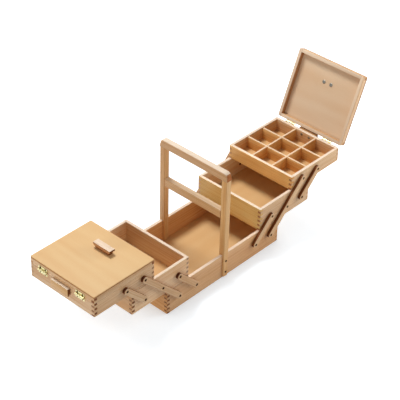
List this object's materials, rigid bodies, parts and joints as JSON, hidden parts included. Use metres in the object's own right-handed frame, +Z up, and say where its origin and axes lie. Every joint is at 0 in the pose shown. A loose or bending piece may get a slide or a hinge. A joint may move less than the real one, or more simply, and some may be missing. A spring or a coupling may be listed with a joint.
{
  "type": "cantilever sewing box",
  "caption": "Wooden cantilever sewing box: finger-jointed trays that fold out on parallel arms, hinged lids with bar pulls, a divider grid and a fixed frame handle.",
  "frame": {"origin": "middle of the base's underside, on the surface that the box stands on", "axes": "+X along the base to the right-hand trays, +Y to the back, +Z up"},
  "size_m": [1.0151, 0.2376, 0.3664],
  "materials": {
    "beech": "clear satin varnish",
    "plywood": "clear satin varnish",
    "brass": "bright plated"
  },
  "bodies": {
    "base": {"base_front_wall": "beech", "base_back_wall": "beech", "base_left_end": "beech", "base_right_end": "beech", "base_bottom": "plywood", "handle_front_post": "beech", "handle_back_post": "beech", "handle_top_rail": "beech", "handle_mid_rail": "beech"},
    "left_long_arms": {"left_front_long_arm": "beech", "left_back_long_arm": "beech"},
    "left_inner_arms": {"left_front_inner_arm": "beech", "left_back_inner_arm": "beech"},
    "left_outer_arms": {"left_front_outer_arm": "beech", "left_back_outer_arm": "beech"},
    "left_middle_tray": {"left_middle_front_wall": "beech", "left_middle_back_wall": "beech", "left_middle_inner_end": "beech", "left_middle_outer_end": "beech", "left_middle_bottom": "plywood"},
    "left_top_tray": {"left_top_front_wall": "beech", "left_top_back_wall": "beech", "left_top_inner_end": "beech", "left_top_outer_end": "beech", "left_top_bottom": "plywood", "left_divider_grid": "plywood", "left_end_pull": "beech", "left_front_hinge_tray_leaf": "brass", "left_back_hinge_tray_leaf": "brass"},
    "left_lid": {"left_lid_frame": "beech", "left_lid_panel": "plywood", "left_lid_pull": "beech", "left_front_hinge_lid_leaf": "brass", "left_back_hinge_lid_leaf": "brass"},
    "right_long_arms": {"right_front_long_arm": "beech", "right_back_long_arm": "beech"},
    "right_inner_arms": {"right_front_inner_arm": "beech", "right_back_inner_arm": "beech"},
    "right_outer_arms": {"right_front_outer_arm": "beech", "right_back_outer_arm": "beech"},
    "right_middle_tray": {"right_middle_front_wall": "beech", "right_middle_back_wall": "beech", "right_middle_inner_end": "beech", "right_middle_outer_end": "beech", "right_middle_bottom": "plywood"},
    "right_top_tray": {"right_top_front_wall": "beech", "right_top_back_wall": "beech", "right_top_inner_end": "beech", "right_top_outer_end": "beech", "right_top_bottom": "plywood", "right_divider_grid": "plywood", "right_end_pull": "beech", "right_front_hinge_tray_leaf": "brass", "right_back_hinge_tray_leaf": "brass"},
    "right_lid": {"right_lid_frame": "beech", "right_lid_panel": "plywood", "right_lid_pull": "beech", "right_front_hinge_lid_leaf": "brass", "right_back_hinge_lid_leaf": "brass"}
  },
  "joints": [
    {"name": "left_fold", "type": "hinge", "parent": "base", "child": "left_long_arms", "pos_m": [-0.173, 0, 0.043], "axis": [0, 1, 0], "range_deg": [0, 90]},
    {"name": "left_inner_arm_pivot", "type": "hinge", "parent": "base", "child": "left_inner_arms", "pos_m": [-0.1125, 0, 0.043], "axis": [0, 1, 0], "range_deg": [0, 90]},
    {"name": "left_middle_tray_pivot", "type": "hinge", "parent": "left_long_arms", "child": "left_middle_tray", "pos_m": [-0.2335, 0, 0.1035], "axis": [0, 1, 0], "range_deg": [-90, 0]},
    {"name": "left_top_tray_pivot", "type": "hinge", "parent": "left_long_arms", "child": "left_top_tray", "pos_m": [-0.294, 0, 0.164], "axis": [0, 1, 0], "range_deg": [-90, 0]},
    {"name": "left_outer_arm_pivot", "type": "hinge", "parent": "left_middle_tray", "child": "left_outer_arms", "pos_m": [-0.294, 0, 0.1035], "axis": [0, 1, 0], "range_deg": [0, 90]},
    {"name": "left_lid_hinge", "type": "hinge", "parent": "left_top_tray", "child": "left_lid", "pos_m": [-0.4563, 0, 0.18115], "axis": [0, -1, 0], "range_deg": [0, 113]},
    {"name": "right_fold", "type": "hinge", "parent": "base", "child": "right_long_arms", "pos_m": [0.173, 0, 0.043], "axis": [0, -1, 0], "range_deg": [0, 90]},
    {"name": "right_inner_arm_pivot", "type": "hinge", "parent": "base", "child": "right_inner_arms", "pos_m": [0.1125, 0, 0.043], "axis": [0, -1, 0], "range_deg": [0, 90]},
    {"name": "right_middle_tray_pivot", "type": "hinge", "parent": "right_long_arms", "child": "right_middle_tray", "pos_m": [0.2335, 0, 0.1035], "axis": [0, -1, 0], "range_deg": [-90, 0]},
    {"name": "right_top_tray_pivot", "type": "hinge", "parent": "right_long_arms", "child": "right_top_tray", "pos_m": [0.294, 0, 0.164], "axis": [0, -1, 0], "range_deg": [-90, 0]},
    {"name": "right_outer_arm_pivot", "type": "hinge", "parent": "right_middle_tray", "child": "right_outer_arms", "pos_m": [0.294, 0, 0.1035], "axis": [0, -1, 0], "range_deg": [0, 90]},
    {"name": "right_lid_hinge", "type": "hinge", "parent": "right_top_tray", "child": "right_lid", "pos_m": [0.4563, 0, 0.18115], "axis": [0, -1, 0], "range_deg": [0, 113]}
  ],
  "couplings": [
    {"joint": "left_inner_arm_pivot", "follows": "left_fold", "ratio": 1},
    {"joint": "left_middle_tray_pivot", "follows": "left_fold", "ratio": -1},
    {"joint": "left_top_tray_pivot", "follows": "left_fold", "ratio": -1},
    {"joint": "left_outer_arm_pivot", "follows": "left_fold", "ratio": 1},
    {"joint": "right_inner_arm_pivot", "follows": "right_fold", "ratio": 1},
    {"joint": "right_middle_tray_pivot", "follows": "right_fold", "ratio": -1},
    {"joint": "right_top_tray_pivot", "follows": "right_fold", "ratio": -1},
    {"joint": "right_outer_arm_pivot", "follows": "right_fold", "ratio": 1}
  ]
}
